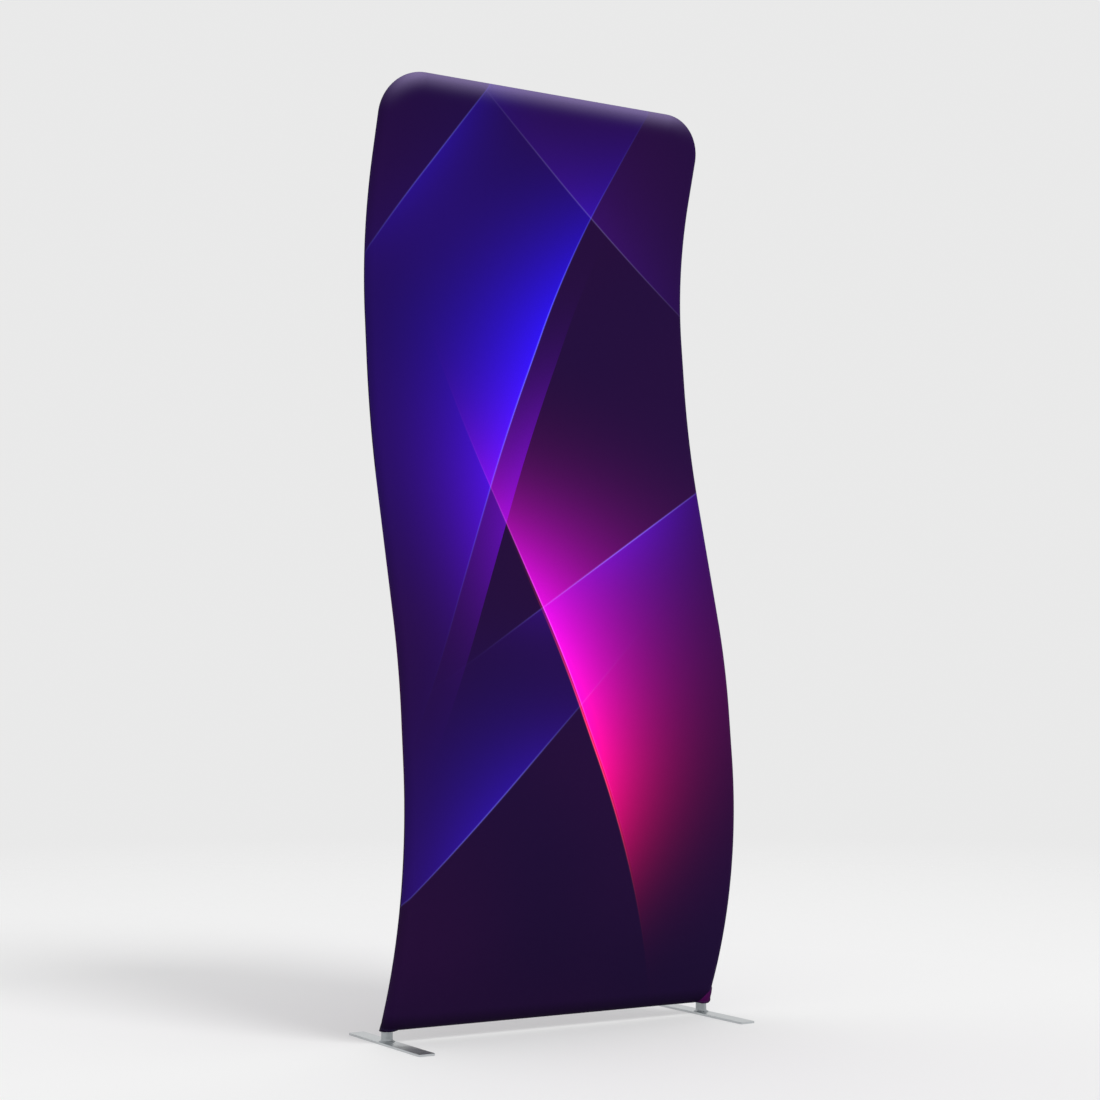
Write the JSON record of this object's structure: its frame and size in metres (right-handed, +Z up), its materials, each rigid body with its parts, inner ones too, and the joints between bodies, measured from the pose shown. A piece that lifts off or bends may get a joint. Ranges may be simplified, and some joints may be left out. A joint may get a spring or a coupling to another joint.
{
  "type": "fabric banner display",
  "caption": "Free-standing S-curved banner display: a printed stretch-fabric sleeve over a round tube frame on two flat feet.",
  "frame": {"origin": "on the floor, midway between the two foot plates and at the middle of their length", "axes": "+X to the right of someone facing the front, +Y towards the back, +Z up; the front faces -Y"},
  "size_m": [0.9228, 0.356, 2.2861],
  "materials": {
    "frame_tube": "satin",
    "coupler": "drawn",
    "button": "turned",
    "spring": "tempered",
    "foot_plate": "brushed",
    "foot_post": "polished satin",
    "rivet": "satin",
    "screw": "dark zinc",
    "fabric": "printed stretch knit",
    "zip_tape": "woven tape",
    "zip_metal": "dark nickel"
  },
  "bodies": {
    "banner": {"lower_tube_left": "frame_tube", "lower_tube_right": "frame_tube", "middle_tube_left": "frame_tube", "middle_tube_right": "frame_tube", "upper_tube_left": "frame_tube", "upper_tube_right": "frame_tube", "corner_tube_left": "frame_tube", "corner_tube_right": "frame_tube", "lower_coupler_left": "coupler", "lower_coupler_right": "coupler", "upper_coupler_left": "coupler", "upper_coupler_right": "coupler", "corner_coupler_left": "coupler", "corner_coupler_right": "coupler", "top_bar_coupler_left": "coupler", "top_bar_coupler_right": "coupler", "snap_springs_left": "spring", "snap_springs_right": "spring", "foot_plate_left": "foot_plate", "foot_plate_right": "foot_plate", "foot_post_left": "foot_post", "foot_post_right": "foot_post", "top_bar": "frame_tube", "bottom_bar": "frame_tube", "coupler_rivets": "rivet", "foot_screws": "screw", "front_panel": "fabric", "back_panel": "fabric", "zipper_upper_half": "zip_tape", "zipper_lower_half": "zip_tape", "zipper_stops": "zip_metal"},
    "foot_button_left": {"foot_button_left": "button"},
    "lower_button_left": {"lower_button_left": "button"},
    "upper_button_left": {"upper_button_left": "button"},
    "corner_button_left": {"corner_button_left": "button"},
    "bottom_bar_button_left": {"bottom_bar_button_left": "button"},
    "top_bar_button_left": {"top_bar_button_left": "button"},
    "foot_button_right": {"foot_button_right": "button"},
    "lower_button_right": {"lower_button_right": "button"},
    "upper_button_right": {"upper_button_right": "button"},
    "corner_button_right": {"corner_button_right": "button"},
    "bottom_bar_button_right": {"bottom_bar_button_right": "button"},
    "top_bar_button_right": {"top_bar_button_right": "button"},
    "zipper_slider": {"zipper_slider": "zip_metal"},
    "zipper_pull_tab": {"zipper_pull_tab": "zip_metal"}
  },
  "joints": [
    {"name": "foot_button_left_press", "type": "slide", "parent": "banner", "child": "foot_button_left", "axis": [-1, 0, 0], "range_m": [0, 0.0048], "stiffness_N_per_m": 400, "springref_m": -0.001, "deforming": ["snap_springs_left"]},
    {"name": "lower_button_left_press", "type": "slide", "parent": "banner", "child": "lower_button_left", "axis": [-1, 0, 0], "range_m": [0, 0.0048], "stiffness_N_per_m": 400, "springref_m": -0.001, "deforming": ["snap_springs_left"]},
    {"name": "upper_button_left_press", "type": "slide", "parent": "banner", "child": "upper_button_left", "axis": [-1, 0, 0], "range_m": [0, 0.0048], "stiffness_N_per_m": 400, "springref_m": -0.001, "deforming": ["snap_springs_left"]},
    {"name": "corner_button_left_press", "type": "slide", "parent": "banner", "child": "corner_button_left", "axis": [-1, 0, 0], "range_m": [0, 0.0048], "stiffness_N_per_m": 400, "springref_m": -0.001, "deforming": ["snap_springs_left"]},
    {"name": "bottom_bar_button_left_press", "type": "slide", "parent": "banner", "child": "bottom_bar_button_left", "axis": [0, 0.3987, -0.9171], "range_m": [0, 0.0048], "stiffness_N_per_m": 400, "springref_m": -0.001, "deforming": ["snap_springs_left"]},
    {"name": "top_bar_button_left_press", "type": "slide", "parent": "banner", "child": "top_bar_button_left", "axis": [0, -0.2924, 0.9563], "range_m": [0, 0.0048], "stiffness_N_per_m": 400, "springref_m": -0.001, "deforming": ["snap_springs_left"]},
    {"name": "foot_button_right_press", "type": "slide", "parent": "banner", "child": "foot_button_right", "axis": [1, 0, 0], "range_m": [0, 0.0048], "stiffness_N_per_m": 400, "springref_m": -0.001, "deforming": ["snap_springs_right"]},
    {"name": "lower_button_right_press", "type": "slide", "parent": "banner", "child": "lower_button_right", "axis": [1, 0, 0], "range_m": [0, 0.0048], "stiffness_N_per_m": 400, "springref_m": -0.001, "deforming": ["snap_springs_right"]},
    {"name": "upper_button_right_press", "type": "slide", "parent": "banner", "child": "upper_button_right", "axis": [1, 0, 0], "range_m": [0, 0.0048], "stiffness_N_per_m": 400, "springref_m": -0.001, "deforming": ["snap_springs_right"]},
    {"name": "corner_button_right_press", "type": "slide", "parent": "banner", "child": "corner_button_right", "axis": [1, 0, 0], "range_m": [0, 0.0048], "stiffness_N_per_m": 400, "springref_m": -0.001, "deforming": ["snap_springs_right"]},
    {"name": "bottom_bar_button_right_press", "type": "slide", "parent": "banner", "child": "bottom_bar_button_right", "axis": [0, 0.3987, -0.9171], "range_m": [0, 0.0048], "stiffness_N_per_m": 400, "springref_m": -0.001, "deforming": ["snap_springs_right"]},
    {"name": "top_bar_button_right_press", "type": "slide", "parent": "banner", "child": "top_bar_button_right", "axis": [0, -0.2924, 0.9563], "range_m": [0, 0.0048], "stiffness_N_per_m": 400, "springref_m": -0.001, "deforming": ["snap_springs_right"]},
    {"name": "zipper_slide", "type": "slide", "parent": "banner", "child": "zipper_slider", "axis": [-1, 0, 0], "range_m": [0, 0.7741]},
    {"name": "pull_tab_hinge", "type": "hinge", "parent": "zipper_slider", "child": "zipper_pull_tab", "pos_m": [0.38705, 0.01814, 0.08088], "axis": [0, -0.3987, 0.9171], "range_deg": [-180, 0]}
  ]
}
